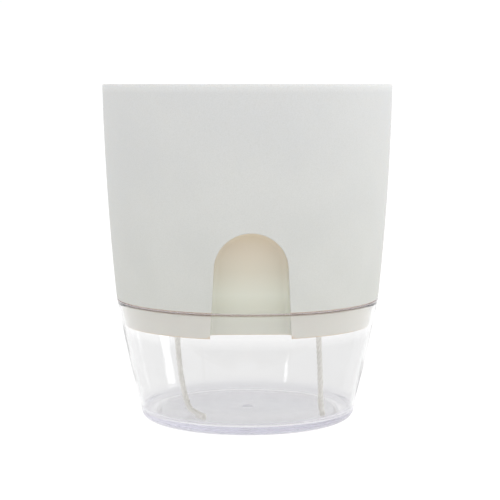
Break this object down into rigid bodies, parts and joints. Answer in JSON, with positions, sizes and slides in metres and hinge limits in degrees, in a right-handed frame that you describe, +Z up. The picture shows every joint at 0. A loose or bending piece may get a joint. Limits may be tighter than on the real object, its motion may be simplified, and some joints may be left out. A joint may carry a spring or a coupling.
{
  "type": "self watering planter",
  "caption": "Round tapered planting pot that drops into a clear water reservoir, with a front filling recess and hanging cotton wicks.",
  "frame": {"origin": "on the ground, on the planter's axis, under the centre of the reservoir", "axes": "+Z up along the planter's axis; -Y is the front, where the filling recess is; +X is to the right seen from the front"},
  "size_m": [0.15, 0.15, 0.174],
  "materials": {
    "clear_plastic": "clear moulded polystyrene, polished, faint lavender tint in its thick edges",
    "white_plastic": "warm white moulded polypropylene, satin, slightly translucent",
    "cotton_cord": "undyed twisted cotton cord, soft and matt"
  },
  "bodies": {
    "reservoir": {"reservoir": "clear_plastic"},
    "pot": {"planting_pot": "white_plastic", "wick_left": "cotton_cord", "wick_right": "cotton_cord"}
  },
  "joints": [
    {"name": "pot_lift", "type": "slide", "parent": "reservoir", "child": "pot", "axis": [0, 0, 1], "range_m": [0, 0.07]}
  ]
}
